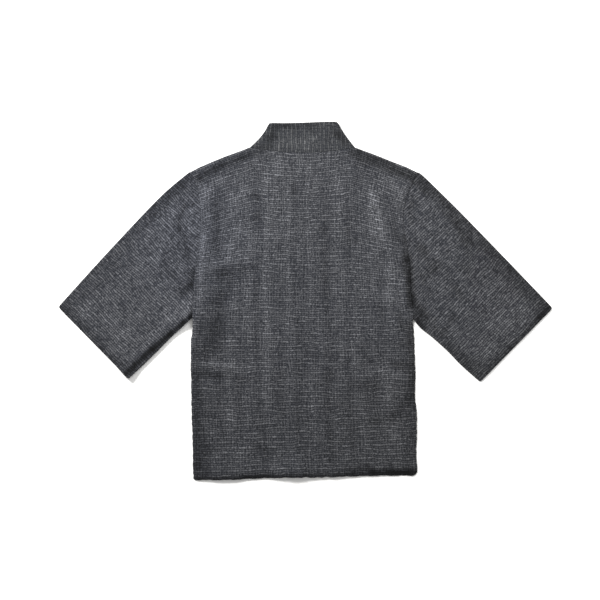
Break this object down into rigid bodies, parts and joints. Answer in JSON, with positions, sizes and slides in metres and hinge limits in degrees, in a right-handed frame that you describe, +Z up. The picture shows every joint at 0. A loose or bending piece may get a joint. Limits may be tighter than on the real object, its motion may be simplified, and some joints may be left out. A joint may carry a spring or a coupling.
{
  "type": "kimono jacket",
  "caption": "Hip-length kimono jacket in charcoal crinkled cotton, laid flat with its back up: straight body, short wide sleeves and a continuous folded collar band.",
  "frame": {"origin": "on the surface the jacket lies on, under the middle of its bounding box", "axes": "+X to the right as one looks down on the back, +Y from the hem towards the collar, +Z up through the cloth"},
  "size_m": [1.1064, 0.8044, 0.0064],
  "materials": {
    "body_cotton": "matt crinkled plain weave, charcoal with pale slubs across the cloth",
    "collar_cotton": "the same cotton folded double, its slubs across the band",
    "sleeve_cotton": "the same cotton, its slubs in line with the cuff"
  },
  "bodies": {
    "root": {"back": "body_cotton", "front_left": "body_cotton", "front_right": "body_cotton", "collar": "collar_cotton", "sleeve_left": "sleeve_cotton", "sleeve_right": "sleeve_cotton"}
  },
  "joints": []
}
